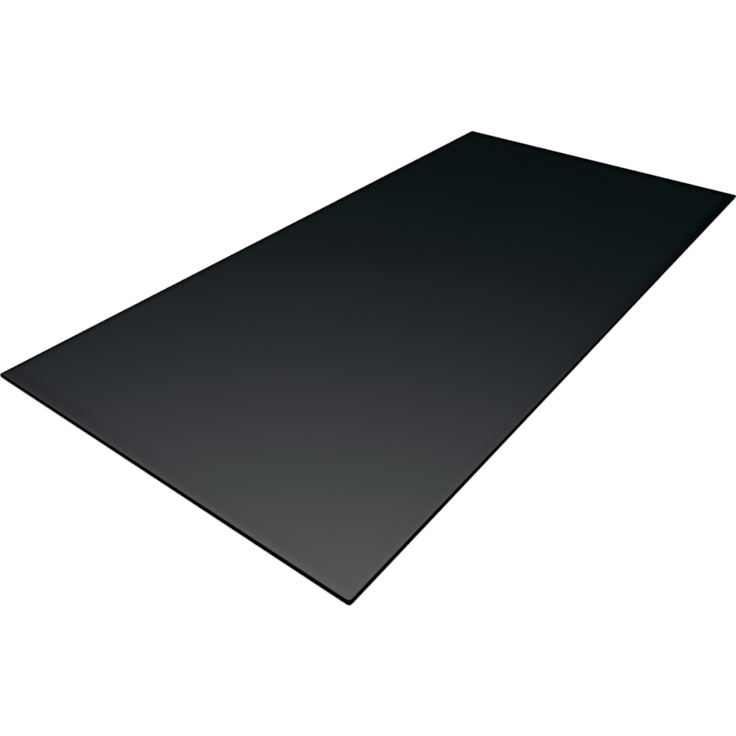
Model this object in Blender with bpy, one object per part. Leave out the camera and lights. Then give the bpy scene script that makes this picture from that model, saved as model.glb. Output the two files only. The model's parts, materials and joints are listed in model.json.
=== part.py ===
"""Surface-fixed kick plate for the foot of a door, lying on its back.

The plate is a stiff black plastic sheet with machined bevels round its front. It is held by
strips of double-sided foam tape, and each strip is covered by a release liner until fitting.

X runs across the door, Y runs up the door and Z comes out of the front face. The origin is
the middle of the plane that the liners lie in, which is the door's face once it is fitted.
"""

from math import cos, radians, sin

import bmesh
import bpy

# Sheet: 32 in wide, 16 in high and 1/8 in thick.
INCH = 0.0254
PLATE_LENGTH = 32 * INCH
PLATE_HEIGHT = 16 * INCH
PLATE_THICKNESS = INCH / 8
CORNER_RADIUS = 0.0025

# Edge of the sheet, from the outline in: a small chamfer, then a shallow bevel up to the face.
CHAMFER = 0.00035
BEVEL_WIDTH = 0.0013
BEVEL_DROP = 0.00015
BACK_CHAMFER = 0.0002

# Foam tape and its liner.
TAPE_WIDTH = 0.025
TAPE_THICKNESS = 0.0011
LINER_THICKNESS = 0.00013
PULL_TAB = 0.008
TAB_RADIUS = 0.003

# Layout of the strips on the back.
EDGE_INSET = 0.010
END_GAP = 0.012
INNER_UPRIGHTS = ("left", "centre", "right")

# Clearance that faces in contact keep in this model.
GAP = 0.0003

LINER_Z = 0.0
TAPE_Z = LINER_Z + LINER_THICKNESS + GAP
PLATE_Z = TAPE_Z + TAPE_THICKNESS + GAP

ARC_STEPS = 4
QUARTER_TURN = radians(90)

SATIN_PLASTIC = {"colour": (0.010, 0.011, 0.012), "roughness": 0.30, "metallic": 0.0}
ACRYLIC_FOAM = {"colour": (0.060, 0.062, 0.066), "roughness": 0.85, "metallic": 0.0}
RED_FILM = {"colour": (0.420, 0.030, 0.026), "roughness": 0.38, "metallic": 0.0}


def clear_scene():
    for obj in list(bpy.data.objects):
        bpy.data.objects.remove(obj, do_unlink=True)


def make_material(name, colour, roughness, metallic):
    material = bpy.data.materials.new(name)
    material.use_nodes = True
    shader = material.node_tree.nodes["Principled BSDF"]
    shader.inputs["Base Color"].default_value = (*colour, 1.0)
    shader.inputs["Roughness"].default_value = roughness
    shader.inputs["Metallic"].default_value = metallic
    material.diffuse_color = (*colour, 1.0)
    return material


def corner(x, y, radius, start):
    """Points of one outline corner: an arc that starts at the angle given, or a square point."""
    if radius == 0:
        return [(x, y)]
    centre_x = x - radius if x > 0 else x + radius
    centre_y = y - radius if y > 0 else y + radius
    angles = [start + step * QUARTER_TURN / ARC_STEPS for step in range(ARC_STEPS + 1)]
    return [(centre_x + radius * cos(a), centre_y + radius * sin(a)) for a in angles]


def outline(length, width, plain_radius, end_radius):
    """Anticlockwise outline of a strip along X: its +X corners have a radius of their own."""
    x, y = length / 2, width / 2
    points = corner(x, y, end_radius, 0.0)
    points += corner(-x, y, plain_radius, QUARTER_TURN)
    points += corner(-x, -y, plain_radius, 2 * QUARTER_TURN)
    points += corner(x, -y, end_radius, 3 * QUARTER_TURN)
    return points


def stack(name, levels):
    """A closed solid through outlines of equal length, each at its own height, lowest first."""
    mesh = bmesh.new()
    loops = [[mesh.verts.new((x, y, height)) for x, y in points] for points, height in levels]
    mesh.faces.new(loops[0][::-1])
    mesh.faces.new(loops[-1])
    for lower, upper in zip(loops, loops[1:]):
        for index in range(len(lower)):
            ahead = (index + 1) % len(lower)
            mesh.faces.new((lower[index], lower[ahead], upper[ahead], upper[index]))
    data = bpy.data.meshes.new(name)
    mesh.to_mesh(data)
    mesh.free()
    return data


def slab(name, points, thickness):
    return stack(name, [(points, 0.0), (points, thickness)])


def place(name, data, material, location, turn, parent):
    data.materials.append(material)
    obj = bpy.data.objects.new(name, data)
    obj.location = location
    obj.rotation_euler = (0.0, 0.0, turn)
    obj.parent = parent
    bpy.context.scene.collection.objects.link(obj)


def add_face_plate(parent):
    material = make_material("satin_black_plastic", **SATIN_PLASTIC)
    face_inset = CHAMFER + BEVEL_WIDTH
    bevel_foot = PLATE_THICKNESS - BEVEL_DROP
    section = (
        (BACK_CHAMFER, 0.0),
        (0.0, BACK_CHAMFER),
        (0.0, bevel_foot - CHAMFER),
        (CHAMFER, bevel_foot),
        (face_inset, PLATE_THICKNESS),
    )
    levels = []
    for inset, height in section:
        radius = CORNER_RADIUS - inset
        length, width = PLATE_LENGTH - 2 * inset, PLATE_HEIGHT - 2 * inset
        levels.append((outline(length, width, radius, radius), height))
    data = stack("face_plate", levels)
    place("face_plate", data, material, (0.0, 0.0, PLATE_Z), 0.0, parent)


def strips():
    """Name, tape length, middle and turn of each strip. Turned strips run up the door."""
    rail_length = PLATE_LENGTH - 2 * EDGE_INSET
    rail_y = PLATE_HEIGHT / 2 - EDGE_INSET - TAPE_WIDTH / 2
    end_x = PLATE_LENGTH / 2 - EDGE_INSET - TAPE_WIDTH / 2
    upright_length = 2 * (rail_y - TAPE_WIDTH / 2 - END_GAP)
    pitch = 2 * end_x / (len(INNER_UPRIGHTS) + 1)

    yield "rail_top", rail_length, (0.0, rail_y), 0.0
    yield "rail_bottom", rail_length, (0.0, -rail_y), 0.0
    yield "end_left", upright_length, (-end_x, 0.0), QUARTER_TURN
    yield "end_right", upright_length, (end_x, 0.0), QUARTER_TURN
    for number, side in enumerate(INNER_UPRIGHTS, start=1):
        yield f"upright_{side}", upright_length, (number * pitch - end_x, 0.0), QUARTER_TURN


def add_tape(name, length, middle, turn, material, parent):
    data = slab(name, outline(length, TAPE_WIDTH, 0.0, 0.0), TAPE_THICKNESS)
    place(name, data, material, (*middle, TAPE_Z), turn, parent)


def add_liner(name, tape_length, middle, turn, material, parent):
    """The liner runs past one end of its tape as a dry tab to pull it off by."""
    length = tape_length + PULL_TAB
    data = slab(name, outline(length, TAPE_WIDTH, 0.0, TAB_RADIUS), LINER_THICKNESS)
    shift_x = PULL_TAB / 2 * cos(turn)
    shift_y = PULL_TAB / 2 * sin(turn)
    location = (middle[0] + shift_x, middle[1] + shift_y, LINER_Z)
    place(name, data, material, location, turn, parent)


def build():
    clear_scene()
    root = bpy.data.objects.new("kick_plate", None)
    bpy.context.scene.collection.objects.link(root)
    add_face_plate(root)

    foam = make_material("acrylic_foam_tape", **ACRYLIC_FOAM)
    film = make_material("release_film", **RED_FILM)
    for name, length, middle, turn in strips():
        add_tape(f"tape_{name}", length, middle, turn, foam, root)
        add_liner(f"liner_{name}", length, middle, turn, film, root)


build()
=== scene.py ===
"""Looks of the kick plate: the satin sheet, the foam tape behind it and the tape's red liners.

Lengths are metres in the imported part's own frame: X across the door, Y up it, Z out of the face.
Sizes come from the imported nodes' boxes.
"""

import json
from math import cos, exp, pi, radians, sin, tan

import bmesh
import bpy
import numpy as np
from mathutils import Matrix, Vector, noise


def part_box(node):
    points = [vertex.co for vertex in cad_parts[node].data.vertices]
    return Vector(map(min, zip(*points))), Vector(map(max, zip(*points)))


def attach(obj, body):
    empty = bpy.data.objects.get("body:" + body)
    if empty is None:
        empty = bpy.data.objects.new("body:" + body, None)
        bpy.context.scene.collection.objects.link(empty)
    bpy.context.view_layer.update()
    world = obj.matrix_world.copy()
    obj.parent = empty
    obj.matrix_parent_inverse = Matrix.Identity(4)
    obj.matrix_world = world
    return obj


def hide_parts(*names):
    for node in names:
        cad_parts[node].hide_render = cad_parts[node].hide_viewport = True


MM = 0.001
WHITE = (1.0, 1.0, 1.0)
BLACK = (0.0, 0.0, 0.0)

# Camera, as the object was seen.
CAMERA_PLACE = (-0.64592, -0.40307, 0.42030)
CAMERA_YAW = radians(37.691)
CAMERA_PITCH = radians(36.133)
CAMERA_LENS = 37.804
CAMERA_NEAR = 0.01
SENSOR = 36.0

# Sheet section, from the outline in: chamfer, matt land, then the face, which rolls up to flat.
BACK_ROUND = 0.25 * MM
BACK_ROUND_STEPS = 4
CHAMFER = 0.35 * MM
CHAMFER_ROUND = 0.15 * MM
CHAMFER_ROUND_STEPS = 3
LAND_WIDTH = 1.30 * MM
LAND_DROP = 0.15 * MM
FACE_INSET = CHAMFER + LAND_WIDTH

# Rolls of the face at its edge as (depth, length). The points on them crowd towards the edge.
ROLLS = ((0.25 * MM, 2.3 * MM), (0.05 * MM, 0.6 * MM))
ROLL_STEPS = 14
ROLL_CROWDING = 1.8

# Sheet outline, and the flat panels inside its rim.
CORNER_RADIUS = 2.5 * MM
CORNER_STEPS = 8
RIM_WIDTH = 12.0 * MM
GRID_X, GRID_Y = 32, 16

# Material slots of the sheet. The back's goes round its edge up to BACK_LIMIT.
FACE, EDGE, BACK = range(3)
BACK_LIMIT = BACK_ROUND / 4

# Painted shade on the face's rim: up to RIM_DARK from the long edges the face's colour is darkened
# by the strength below, and from RIM_CLEAR not at all. Along the ends the painted shade is END_RIM
# times wider.
RIM_DARK = 5.0 * MM
RIM_CLEAR = 12.5 * MM
PAINTED_RIM_SHADE = 0.9
END_RIM = 1.7

# Strips: stations along them, and the slow drift of their slit edges. Each edge has its own row:
# the strip's number for one side, and that plus OTHER_SIDE for the other.
STATION = 4.0 * MM
DRIFT_PACE = 22.0
DRIFT_ROW = 7.31
DRIFT_LEVEL = 0.5

# Foam tape. FOAM_SIDE lists (share of the height, share of the waist that the side is drawn in).
FOAM_DRIFT = 0.12 * MM
FOAM_OTHER_SIDE = 50
FOAM_ROUND = 0.10 * MM
FOAM_WAIST = 0.10 * MM
FOAM_SIDE = ((0.3, 0.7), (0.5, 1.0), (0.7, 0.7))
SKIN_INSET = 0.35 * MM
CONTACT = 0.01 * MM

# Liner film and its tab. The stations on the tab start at TAB_START of its length.
FILM_DRIFT = 0.05 * MM
FILM_OTHER_SIDE = 30
FILM_COLUMNS = 7
TAB_LENGTH = 8.0 * MM
TAB_RADIUS = 3.0 * MM
TAB_LIFT = 0.75 * MM
TAB_CURL = 1.6
TAB_CUP = 0.12 * MM
TAB_START = 0.08
TAB_STATIONS = 14

# Edges sharper than this are shaded as edges.
SMOOTH_ANGLE = radians(28)

# Every material here is a plastic.
PLASTIC_IOR = 1.5

# The two tones that each material varies between.
FACE_TONES = ((0.0013, 0.0060, 0.0066), (0.0015, 0.0064, 0.0072))
EDGE_TONES = ((0.0005, 0.0007, 0.0008), (0.0011, 0.0015, 0.0016))
BACK_TONES = ((0.0040, 0.0045, 0.0049), (0.0110, 0.0118, 0.0124))
FOAM_TONES = ((0.048, 0.050, 0.054), (0.074, 0.076, 0.080))
ADHESIVE_TONES = ((0.060, 0.060, 0.058), (0.090, 0.088, 0.084))
FILM_TONES = ((0.36, 0.022, 0.020), (0.48, 0.040, 0.034))

# Floor, with a contact shadow that reaches SHADOW_REACH out from the sheet.
FLOOR_DROP = 0.05 * MM
FLOOR_SIZE = 30.0
SHADOW_REACH = 12.0 * MM
SHADOW_SAMPLES = 16
SHADOW_FROM, SHADOW_TO = 0.02, 0.42

# Light from below, for the back of the sheet.
UNDER_DEPTH = 1.6
UNDER_SIZE = 1.0
UNDER_POWER = 30.0

# Softbox overhead: nothing below SKY_START, then a power of the rise, levelling off at SKY_LIMIT.
# Where it is dim it has the low tint, and where it is bright the high one.
SKY_AXIS = Vector((0.0815, 0.1295, 1.0)).normalized()
SKY_GAIN = 40.5
SKY_START = 0.4276
SKY_POWER = 3.607
SKY_LIMIT = 2.55
SKY_BLEND = 0.5
SKY_LOW_TINT = (1.071, 0.998, 1.166)
SKY_HIGH_TINT = (0.990, 1.005, 0.950)
SKY_TINT_FROM, SKY_TINT_TO = 0.80, 1.04

# Weak light near the horizon, round one side only.
FILL_AXIS = Vector((-0.791, -0.611, 0.0)).normalized()
FILL_LEVEL = 0.40
FILL_FROM, FILL_TO = -0.5, 0.3


# ---------------------------------------------------------------- meshes


def new_object(name, points, faces, materials, slots=None):
    mesh = bpy.data.meshes.new(name)
    mesh.from_pydata([tuple(p) for p in points], [], faces)
    for material in materials:
        mesh.materials.append(material)
    if slots is not None:
        mesh.polygons.foreach_set("material_index", slots)
    mesh.shade_smooth()
    mesh.set_sharp_from_angle(angle=SMOOTH_ANGLE)
    mesh.update()
    obj = bpy.data.objects.new(name, mesh)
    bpy.context.scene.collection.objects.link(obj)
    return obj


def fix_normals(obj):
    mesh = bmesh.new()
    mesh.from_mesh(obj.data)
    bmesh.ops.recalc_face_normals(mesh, faces=mesh.faces)
    mesh.to_mesh(obj.data)
    mesh.free()


def fillet(before, at, after, radius, steps):
    """Points of an arc of that radius between two straight runs that meet at a corner."""
    before, at, after = Vector(before), Vector(at), Vector(after)
    back = (before - at).normalized()
    ahead = (after - at).normalized()
    half = back.angle(ahead) / 2
    reach = radius / tan(half)
    centre = at + (back + ahead).normalized() * (radius / sin(half))
    first = at + back * reach - centre
    last = at + ahead * reach - centre
    swing = first.angle(last)
    points = []
    for step in range(steps + 1):
        share = step / steps
        blend = (sin((1 - share) * swing) * first + sin(share * swing) * last) / sin(swing)
        points.append(tuple(centre + blend))
    return points


def roll_fall(out, reach):
    """How far the face lies below its flat part, at that distance in from the land."""
    return sum(depth * (exp(-out / length) - exp(-reach / length)) for depth, length in ROLLS)


def plate_section(thickness):
    """Half section of the sheet's rim as (inset from the outline, height), back to front."""
    reach = RIM_WIDTH - FACE_INSET
    crest = thickness - roll_fall(0.0, reach)
    land_foot = crest - LAND_DROP
    back_inner = (RIM_WIDTH, 0.0)
    heel = (0.0, 0.0)
    shoulder = (0.0, land_foot - CHAMFER)
    land_start = (CHAMFER, land_foot)
    land_end = (FACE_INSET, crest)
    section = [back_inner]
    section += fillet(back_inner, heel, shoulder, BACK_ROUND, BACK_ROUND_STEPS)
    section += fillet(heel, shoulder, land_start, CHAMFER_ROUND, CHAMFER_ROUND_STEPS)
    section += fillet(shoulder, land_start, land_end, CHAMFER_ROUND, CHAMFER_ROUND_STEPS)
    for step in range(ROLL_STEPS + 1):
        out = reach * (step / ROLL_STEPS) ** ROLL_CROWDING
        section.append((FACE_INSET + out, thickness - roll_fall(out, reach)))
    return section


def rim_slot(start, stop):
    """Material slot of the rim between two points of its section."""
    if max(start[1], stop[1]) < BACK_LIMIT:
        return BACK
    if max(start[0], stop[0]) > FACE_INSET:
        return FACE
    return EDGE


def plate_loop(half_x, half_y, inset, lines_x, lines_y):
    """Closed loop of a rounded rectangle, with a point where each grid line meets it."""
    x, y = half_x - inset, half_y - inset
    middle_x, middle_y = x - CORNER_RADIUS, y - CORNER_RADIUS
    sides = (
        (middle_x, middle_y, [(v, y) for v in lines_x[::-1]]),
        (-middle_x, middle_y, [(-x, v) for v in lines_y[::-1]]),
        (-middle_x, -middle_y, [(v, -y) for v in lines_x]),
        (middle_x, -middle_y, [(x, v) for v in lines_y]),
    )
    loop = []
    for quarter, (corner_x, corner_y, run) in enumerate(sides):
        for step in range(CORNER_STEPS + 1):
            angle = pi / 2 * (quarter + step / CORNER_STEPS)
            loop.append((corner_x + CORNER_RADIUS * cos(angle), corner_y + CORNER_RADIUS * sin(angle)))
        loop += run
    return loop


def panel_edge():
    """For each point of a loop, the number of the panel's point that it joins."""
    def at(i, j):
        return j * (GRID_X + 1) + i

    corner = CORNER_STEPS + 1
    joined = [at(GRID_X, GRID_Y)] * corner
    joined += [at(i, GRID_Y) for i in range(GRID_X - 1, 0, -1)]
    joined += [at(0, GRID_Y)] * corner
    joined += [at(0, j) for j in range(GRID_Y - 1, 0, -1)]
    joined += [at(0, 0)] * corner
    joined += [at(i, 0) for i in range(1, GRID_X)]
    joined += [at(GRID_X, 0)] * corner
    joined += [at(GRID_X, j) for j in range(1, GRID_Y)]
    return joined


class Sheet:
    """Points and faces of the sheet: two flat panels on one grid, and the rim's rings between."""

    def __init__(self, half_x, half_y):
        panel_x, panel_y = half_x - RIM_WIDTH - CORNER_RADIUS, half_y - RIM_WIDTH - CORNER_RADIUS
        self.half_x, self.half_y = half_x, half_y
        self.lines_x = np.linspace(-panel_x, panel_x, GRID_X + 1)
        self.lines_y = np.linspace(-panel_y, panel_y, GRID_Y + 1)
        self.points, self.faces, self.slots = [], [], []

    def add_panel(self, height, slot):
        """Adds a flat grid, and returns the numbers of its points that a ring joins."""
        first = len(self.points)
        self.points += [(x, y, height) for y in self.lines_y for x in self.lines_x]
        for j in range(GRID_Y):
            for i in range(GRID_X):
                a = first + j * (GRID_X + 1) + i
                quad = [a, a + 1, a + GRID_X + 2, a + GRID_X + 1]
                self.faces.append(quad[::-1] if slot == BACK else quad)
                self.slots.append(slot)
        return [first + n for n in panel_edge()]

    def add_ring(self, inset, height):
        first = len(self.points)
        inner_x, inner_y = self.lines_x[1:-1], self.lines_y[1:-1]
        loop = plate_loop(self.half_x, self.half_y, inset, inner_x, inner_y)
        self.points += [(x, y, height) for x, y in loop]
        return list(range(first, len(self.points)))

    def bridge(self, lower, upper, slot):
        """Joins two equal loops. Where one stays on a point, the face is a triangle."""
        for j in range(len(lower)):
            k = (j + 1) % len(lower)
            ring = [lower[j], lower[k], upper[k], upper[j]]
            self.faces.append([p for n, p in enumerate(ring) if p != ring[n - 1]])
            self.slots.append(slot)


def make_plate(low, high, materials):
    """The whole sheet as one closed mesh. Its materials are in the order of the slots."""
    centre = (low + high) / 2
    thickness = high.z - low.z
    sheet = Sheet((high.x - low.x) / 2, (high.y - low.y) / 2)
    section = plate_section(thickness)

    back = sheet.add_panel(0.0, BACK)
    rings = [sheet.add_ring(inset, height) for inset, height in section]
    front = sheet.add_panel(thickness, FACE)

    sheet.bridge(back, rings[0], BACK)
    for number in range(len(rings) - 1):
        slot = rim_slot(section[number], section[number + 1])
        sheet.bridge(rings[number], rings[number + 1], slot)
    sheet.bridge(rings[-1], front, FACE)

    middle = Vector((centre.x, centre.y, low.z))
    placed = [Vector(p) + middle for p in sheet.points]
    return new_object("plate_sheet", placed, sheet.faces, materials, sheet.slots)


def loft(stations):
    """Closed tube through equal closed loops, capped at both ends."""
    count = len(stations[0])
    points = [p for loop in stations for p in loop]
    faces = [list(range(count))[::-1]]
    for station in range(len(stations) - 1):
        a, b = station * count, (station + 1) * count
        for j in range(count):
            k = (j + 1) % count
            faces.append([a + j, a + k, b + k, b + j])
    last = (len(stations) - 1) * count
    faces.append([last + j for j in range(count)])
    return points, faces


def strip_axes(low, high):
    """The strip's length, width and the matrix from its own frame (X along it) to the part's."""
    centre = (low + high) / 2
    size = high - low
    upright = size.y > size.x
    length, width = (size.y, size.x) if upright else (size.x, size.y)
    turn = Matrix.Rotation(radians(90) if upright else 0.0, 4, "Z")
    return length, width, Matrix.Translation((centre.x, centre.y, 0.0)) @ turn


def drift(along, row, size):
    """Slow sideways drift of a slit edge. Each row is another edge."""
    return size * noise.noise(Vector((along * DRIFT_PACE, row * DRIFT_ROW, DRIFT_LEVEL)))


def foam_loops(length, width, low_z, high_z, seed):
    """Sections of the foam: square-cut corners, sides drawn in a little at mid height."""
    half, height = width / 2 - FOAM_DRIFT, high_z - low_z
    side = [(-FOAM_ROUND, 0.0), (0.0, FOAM_ROUND)]
    side += [(-FOAM_WAIST * drawn, height * share) for share, drawn in FOAM_SIDE]
    side += [(0.0, height - FOAM_ROUND), (-FOAM_ROUND, height)]
    number = round(length / STATION)
    loops = []
    for step in range(number + 1):
        x = -length / 2 + length * step / number
        left, right = drift(x, seed, FOAM_DRIFT), drift(x, seed + FOAM_OTHER_SIDE, FOAM_DRIFT)
        right_side = [(x, -half - out + right, low_z + z) for out, z in side]
        left_side = [(x, half + out + left, low_z + z) for out, z in reversed(side)]
        loops.append((right_side + left_side)[::-1])
    return loops


def skin_loops(length, width, low_z, high_z):
    """Sections of one layer of adhesive, a little narrower than the foam."""
    half = width / 2 - FOAM_DRIFT - SKIN_INSET
    end = length / 2 - SKIN_INSET
    loops = []
    for x in (-end, end):
        loops.append([(x, half, low_z), (x, half, high_z), (x, -half, high_z), (x, -half, low_z)])
    return loops


def make_tape(name, node, below, above, seed, foam, adhesive):
    """Foam core with a layer of adhesive on either side, from the liner up to the sheet."""
    low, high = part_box(node)
    length, width, to_part = strip_axes(low, high)
    points, faces, slots = [], [], []
    layers = (
        (foam_loops(length, width, low.z, high.z, seed), 0),
        (skin_loops(length, width, below + CONTACT, low.z - CONTACT), 1),
        (skin_loops(length, width, high.z + CONTACT, above - CONTACT), 1),
    )
    for loops, slot in layers:
        layer_points, layer_faces = loft(loops)
        first = len(points)
        points += [to_part @ Vector(p) for p in layer_points]
        faces += [[first + n for n in face] for face in layer_faces]
        slots += [slot] * len(layer_faces)
    obj = new_object(name, points, faces, (foam, adhesive), slots)
    fix_normals(obj)
    return obj


def film_stations(length):
    """Places along a liner: even as far as the tab, then closer together."""
    tab_foot = length / 2 - TAB_LENGTH
    plain = np.linspace(-length / 2, tab_foot, round(length / STATION))
    tab = tab_foot + TAB_LENGTH * np.linspace(TAB_START, 1.0, TAB_STATIONS)
    return [*plain, *tab]


def film_loop(x, length, width, low_z, high_z, seed):
    """Section of a liner. The tab narrows to round corners, lifts and cups."""
    half, end = width / 2, length / 2
    into_tab = max(0.0, (x - (end - TAB_LENGTH)) / TAB_LENGTH)
    past = max(0.0, x - end + TAB_RADIUS)
    reach = half - TAB_RADIUS + max(0.0, TAB_RADIUS**2 - past**2) ** 0.5 - FILM_DRIFT
    left, right = drift(x, seed, FILM_DRIFT), drift(x, seed + FILM_OTHER_SIDE, FILM_DRIFT)
    lift = TAB_LIFT * into_tab**TAB_CURL
    across = np.linspace(right - reach, reach + left, FILM_COLUMNS)
    rise = [lift + TAB_CUP * into_tab * (1 - (y / half) ** 2) for y in across]
    under = [(x, y, low_z + up) for y, up in zip(across, rise)]
    over = [(x, y, high_z + up) for y, up in zip(across, rise)]
    return under + over[::-1]


def make_liner(name, node, seed, film):
    """Thin film under its tape. Its tab, at the +X end of the strip, curls up off the floor."""
    low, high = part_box(node)
    length, width, to_part = strip_axes(low, high)
    stations = film_stations(length)
    points, faces = loft([film_loop(x, length, width, low.z, high.z, seed) for x in stations])
    obj = new_object(name, [to_part @ Vector(p) for p in points], faces, (film,))
    fix_normals(obj)
    return obj


# ---------------------------------------------------------------- node trees


class Graph:
    """Short calls for a node tree."""

    def __init__(self, tree):
        self.nodes, self.links = tree.nodes, tree.links

    def maths(self, operation, *values):
        node = self.nodes.new("ShaderNodeMath")
        node.operation = operation
        for socket, value in zip(node.inputs, values):
            if isinstance(value, float):
                socket.default_value = value
            else:
                self.links.new(value, socket)
        return node.outputs[0]

    def spread(self, value, low, high, start=0.3, stop=0.7, smooth=False):
        """Carries a value from start..stop, by default a noise texture's usual range, to low..high."""
        node = self.nodes.new("ShaderNodeMapRange")
        node.interpolation_type = "SMOOTHSTEP" if smooth else "LINEAR"
        node.inputs["From Min"].default_value = start
        node.inputs["From Max"].default_value = stop
        node.inputs["To Min"].default_value = low
        node.inputs["To Max"].default_value = high
        self.links.new(value, node.inputs["Value"])
        return node.outputs["Result"]

    def mixed(self, fac, first, second):
        """Colour between two, each of them a tuple or a link."""
        node = self.nodes.new("ShaderNodeMix")
        node.data_type = "RGBA"
        sockets = [socket for socket in node.inputs if socket.type == "RGBA"]
        for socket, colour in zip(sockets, (first, second)):
            if isinstance(colour, tuple):
                socket.default_value = (*colour, 1.0)
            else:
                self.links.new(colour, socket)
        self.links.new(fac, node.inputs["Factor"])
        return next(socket for socket in node.outputs if socket.type == "RGBA")

    def choice(self, fac, first, second):
        """The first shader's light where fac is 0, and the second's where it is 1."""
        node = self.nodes.new("ShaderNodeMixShader")
        self.links.new(fac, node.inputs["Fac"])
        self.links.new(first, node.inputs[1])
        self.links.new(second, node.inputs[2])
        return node.outputs[0]

    def output(self, kind, shader):
        self.links.new(shader, self.nodes.new(kind).inputs["Surface"])


class Shader(Graph):
    """Node tree of a Principled material."""

    def __init__(self, name, specular=0.5):
        self.material = bpy.data.materials.new(name)
        self.material.use_nodes = True
        super().__init__(self.material.node_tree)
        self.main = self.nodes["Principled BSDF"]
        self.main.inputs["Specular IOR Level"].default_value = specular
        self.main.inputs["IOR"].default_value = PLASTIC_IOR
        self.place = self.nodes.new("ShaderNodeTexCoord").outputs["Object"]

    def noise(self, scale, detail, rough=0.5, stretch=(1, 1, 1)):
        mapping = self.nodes.new("ShaderNodeMapping")
        mapping.inputs["Scale"].default_value = stretch
        self.links.new(self.place, mapping.inputs["Vector"])
        node = self.nodes.new("ShaderNodeTexNoise")
        node.inputs["Scale"].default_value = scale
        node.inputs["Detail"].default_value = detail
        node.inputs["Roughness"].default_value = rough
        self.links.new(mapping.outputs["Vector"], node.inputs["Vector"])
        return node.outputs["Fac"]

    def cells(self, scale):
        node = self.nodes.new("ShaderNodeTexVoronoi")
        node.inputs["Scale"].default_value = scale
        self.links.new(self.place, node.inputs["Vector"])
        return node.outputs["Distance"]

    def from_rim(self, half_x, half_y):
        """Distance from the nearest edge of the sheet. That from an end is divided by END_RIM."""
        axes = self.nodes.new("ShaderNodeSeparateXYZ")
        self.links.new(self.place, axes.inputs[0])
        gap_x, gap_y = (
            self.maths("SUBTRACT", half, self.maths("ABSOLUTE", axes.outputs[axis]))
            for axis, half in (("X", half_x), ("Y", half_y))
        )
        return self.maths("MINIMUM", self.maths("DIVIDE", gap_x, END_RIM), gap_y)

    def colour(self, value):
        self.links.new(value, self.main.inputs["Base Color"])

    def roughness(self, value):
        self.links.new(value, self.main.inputs["Roughness"])

    def bump(self, height, distance):
        node = self.nodes.new("ShaderNodeBump")
        node.inputs["Strength"].default_value = 1.0
        node.inputs["Distance"].default_value = distance
        self.links.new(height, node.inputs["Height"])
        self.links.new(node.outputs["Normal"], self.main.inputs["Normal"])


# ---------------------------------------------------------------- materials


def plate_face_material(half_x, half_y):
    """Satin skin of the sheet: fine grain, faint draw lines along it, and a rim of painted shade."""
    look = Shader("plate_face")
    grain = look.noise(4500, detail=2, rough=0.6)
    draw = look.noise(1.0, detail=3, stretch=(8, 2500, 8))
    cloud = look.noise(7, detail=3)
    # Painted shade: the colour is darkened towards the rim, and further in along the ends.
    painted_shade = look.spread(look.from_rim(half_x, half_y), PAINTED_RIM_SHADE, 0.0, start=RIM_DARK, stop=RIM_CLEAR)
    look.colour(look.mixed(painted_shade, look.mixed(cloud, *FACE_TONES), BLACK))
    rough = look.maths("ADD", look.spread(cloud, 0.15, 0.17), look.spread(grain, -0.01, 0.01))
    look.roughness(rough)
    relief = look.maths("ADD", look.spread(grain, 0, 1), look.spread(draw, 0, 0.4))
    look.bump(relief, distance=0.0020 * MM)
    return look.material


def plate_edge_material():
    """Sawn and bevelled edge: the same plastic, matt, with cutter marks across it."""
    look = Shader("plate_edge", specular=0.01)
    marks = look.noise(1.0, detail=3, rough=0.6, stretch=(900, 900, 60))
    look.colour(look.mixed(marks, *EDGE_TONES))
    look.roughness(look.spread(marks, 0.44, 0.58))
    look.bump(marks, distance=0.02 * MM)
    return look.material


def plate_back_material():
    """Back of the sheet: matt, and keyed with fine scratches for the tape."""
    look = Shader("plate_back")
    grain = look.noise(900, detail=3)
    scratch = look.noise(1.0, detail=4, rough=0.7, stretch=(30, 1300, 30))
    look.colour(look.mixed(look.spread(scratch, 0.0, 1.0), *BACK_TONES))
    look.roughness(look.spread(grain, 0.56, 0.70))
    look.bump(look.maths("ADD", grain, scratch), distance=0.01 * MM)
    return look.material


def foam_material():
    """Acrylic foam: dull grey, with fine open cells where it is cut."""
    look = Shader("foam_tape", specular=0.3)
    cell = look.cells(4200)
    cloud = look.noise(60, detail=3)
    look.colour(look.mixed(cloud, *FOAM_TONES))
    look.roughness(look.spread(cell, 0.95, 0.72, start=0.0, stop=0.6))
    look.bump(cell, distance=0.05 * MM)
    return look.material


def adhesive_material():
    """Tacky skin of the tape: glossier than the foam, and rippled."""
    look = Shader("tape_adhesive")
    ripple = look.noise(500, detail=3)
    look.colour(look.mixed(ripple, *ADHESIVE_TONES))
    look.roughness(look.spread(ripple, 0.22, 0.42))
    look.bump(ripple, distance=0.02 * MM)
    return look.material


def film_material():
    """Red release film: smooth, hazy, with fine wrinkles."""
    look = Shader("release_film")
    haze = look.noise(35, detail=4, rough=0.6)
    crease = look.noise(1.0, detail=4, rough=0.6, stretch=(160, 160, 160))
    look.colour(look.mixed(haze, *FILM_TONES))
    look.roughness(look.spread(haze, 0.30, 0.44))
    look.bump(crease, distance=0.12 * MM)
    return look.material


def floor_material():
    """White paper with a soft contact shadow. From underneath it is clear."""
    material = bpy.data.materials.new("floor")
    material.use_nodes = True
    tree = Graph(material.node_tree)
    tree.nodes.clear()
    shade = tree.nodes.new("ShaderNodeAmbientOcclusion")
    shade.inputs["Distance"].default_value = SHADOW_REACH
    shade.samples = SHADOW_SAMPLES
    openness = shade.outputs["AO"]
    level = tree.spread(openness, 0.0, 1.0, start=SHADOW_FROM, stop=SHADOW_TO, smooth=True)
    paper = tree.nodes.new("ShaderNodeEmission")
    tree.links.new(level, paper.inputs["Strength"])
    clear = tree.nodes.new("ShaderNodeBsdfTransparent")
    behind = tree.nodes.new("ShaderNodeNewGeometry").outputs["Backfacing"]
    tree.output("ShaderNodeOutputMaterial", tree.choice(behind, paper.outputs[0], clear.outputs[0]))
    return material


# ---------------------------------------------------------------- studio


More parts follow.
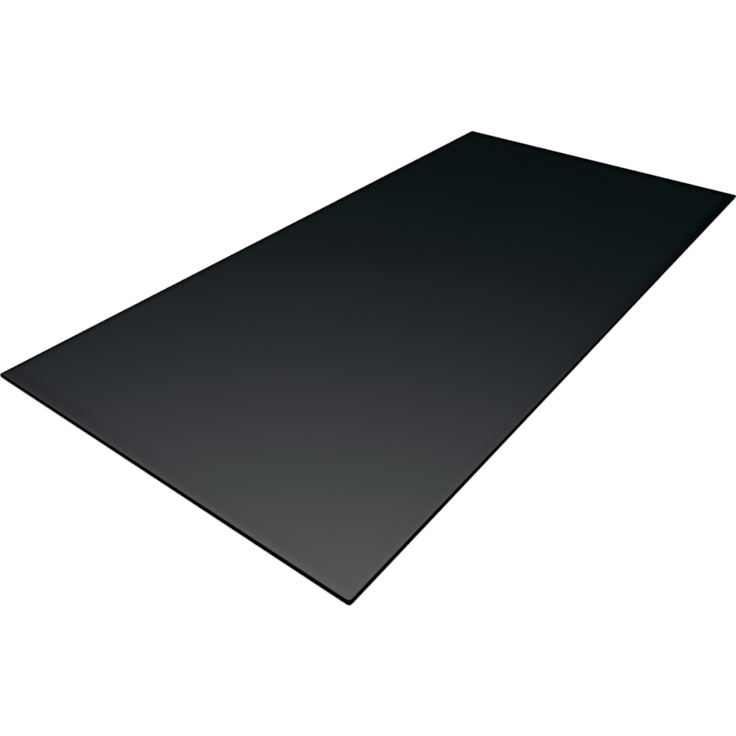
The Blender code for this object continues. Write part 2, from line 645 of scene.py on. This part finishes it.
def add_floor():
    """Floor that only the camera sees, so it neither lights the part nor shows in its gloss."""
    half = FLOOR_SIZE / 2
    corners = [(-half, -half), (half, -half), (half, half), (-half, half)]
    points = [(x, y, -FLOOR_DROP) for x, y in corners]
    floor = new_object("floor", points, [[0, 1, 2, 3]], (floor_material(),))
    floor.visible_diffuse = False
    floor.visible_glossy = False
    floor.visible_shadow = False


def add_under_light():
    data = bpy.data.lights.new("under_light", "AREA")
    data.shape = "RECTANGLE"
    data.size, data.size_y = UNDER_SIZE, UNDER_SIZE
    data.energy = UNDER_POWER
    light = bpy.data.objects.new("under_light", data)
    light.location = (0.0, 0.0, -UNDER_DEPTH)
    light.rotation_euler = Vector((0.0, 0.0, UNDER_DEPTH)).to_track_quat("-Z", "Y").to_euler()
    light.visible_camera = False
    bpy.context.scene.collection.objects.link(light)


class World(Graph):
    """Node tree of the light all round: a dark room, with a softbox and a weak fill."""

    def __init__(self, name):
        self.world = bpy.data.worlds.new(name)
        self.world.use_nodes = True
        super().__init__(self.world.node_tree)
        self.nodes.clear()
        self.direction = self.nodes.new("ShaderNodeTexCoord").outputs["Generated"]

    def along(self, axis):
        """How far the direction points along an axis, from -1 to 1."""
        node = self.nodes.new("ShaderNodeVectorMath")
        node.operation = "DOT_PRODUCT"
        self.links.new(self.direction, node.inputs[0])
        node.inputs[1].default_value = axis
        return node.outputs["Value"]

    def light(self, strength=None, colour=None):
        """White light of strength 1, unless something is linked."""
        node = self.nodes.new("ShaderNodeBackground")
        node.inputs["Color"].default_value = (*WHITE, 1.0)
        for value, socket in ((strength, "Strength"), (colour, "Color")):
            if value is not None:
                self.links.new(value, node.inputs[socket])
        return node.outputs[0]

    def softbox(self):
        """Large softbox overhead, which fades out towards the horizon."""
        above = self.maths("MAXIMUM", self.maths("SUBTRACT", self.along(SKY_AXIS), SKY_START), 0.0)
        rise = self.maths("MULTIPLY", self.maths("POWER", above, SKY_POWER), SKY_GAIN)
        sky = self.maths("SMOOTH_MIN", rise, SKY_LIMIT, SKY_BLEND)
        height = self.spread(sky, 0.0, 1.0, start=SKY_TINT_FROM, stop=SKY_TINT_TO)
        return self.light(sky, self.mixed(height, SKY_LOW_TINT, SKY_HIGH_TINT))

    def fill(self):
        """Weak light from one side, strongest at the horizon."""
        facing = self.along(FILL_AXIS)
        side = self.spread(facing, 0.0, FILL_LEVEL, start=FILL_FROM, stop=FILL_TO, smooth=True)
        steepness = self.maths("ABSOLUTE", self.along((0.0, 0.0, 1.0)))
        return self.light(self.maths("MULTIPLY", side, self.maths("SUBTRACT", 1.0, steepness)))


def add_world():
    """The camera itself sees plain white beyond the floor."""
    room = World("studio")
    both = room.nodes.new("ShaderNodeAddShader")
    room.links.new(room.softbox(), both.inputs[0])
    room.links.new(room.fill(), both.inputs[1])
    seen = room.nodes.new("ShaderNodeLightPath").outputs["Is Camera Ray"]
    room.output("ShaderNodeOutputWorld", room.choice(seen, both.outputs[0], room.light()))
    bpy.context.scene.world = room.world


def add_camera():
    data = bpy.data.cameras.new("camera")
    data.lens = CAMERA_LENS
    data.sensor_width = SENSOR
    data.clip_start = CAMERA_NEAR
    camera = bpy.data.objects.new("camera", data)
    camera.location = CAMERA_PLACE
    camera.rotation_euler = (radians(90) - CAMERA_PITCH, 0.0, CAMERA_YAW - radians(90))
    bpy.context.scene.collection.objects.link(camera)
    bpy.context.scene.camera = camera


def add_studio():
    add_camera()
    add_floor()
    add_under_light()
    add_world()
    bpy.context.scene.view_settings.view_transform = "Standard"


# ---------------------------------------------------------------- assembly


def add_plate():
    low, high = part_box("face_plate")
    face = plate_face_material(high.x, high.y)
    plate = make_plate(low, high, (face, plate_edge_material(), plate_back_material()))
    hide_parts("face_plate")
    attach(plate, "plate")


def add_strips(nodes, bodies):
    """Tape and liner of every strip. Each body is a list of the nodes that move as one."""
    foam, adhesive, film = foam_material(), adhesive_material(), film_material()
    body_of = {node: body for body, members in bodies.items() for node in members}
    strip_names = sorted(n.removeprefix("tape_") for n in nodes if n.startswith("tape_"))
    liner_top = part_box("liner_rail_top")[1].z
    plate_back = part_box("face_plate")[0].z

    for seed, strip in enumerate(strip_names):
        tape_node, liner_node = f"tape_{strip}", f"liner_{strip}"
        tape = make_tape(f"foam_{strip}", tape_node, liner_top, plate_back, seed, foam, adhesive)
        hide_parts(tape_node)
        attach(tape, body_of[tape_node])
        liner = make_liner(f"film_{strip}", liner_node, seed, film)
        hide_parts(liner_node)
        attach(liner, body_of[liner_node])


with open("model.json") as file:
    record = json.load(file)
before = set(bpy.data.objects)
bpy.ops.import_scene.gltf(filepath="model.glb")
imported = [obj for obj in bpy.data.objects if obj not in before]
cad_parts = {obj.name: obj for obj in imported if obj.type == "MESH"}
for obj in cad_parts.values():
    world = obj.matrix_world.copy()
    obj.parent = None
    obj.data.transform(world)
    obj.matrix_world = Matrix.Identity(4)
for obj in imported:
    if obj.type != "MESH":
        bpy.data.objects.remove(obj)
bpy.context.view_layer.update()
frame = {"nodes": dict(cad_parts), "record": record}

add_studio()
add_plate()
add_strips(frame["nodes"], frame["record"]["behaviour"]["bodies"])
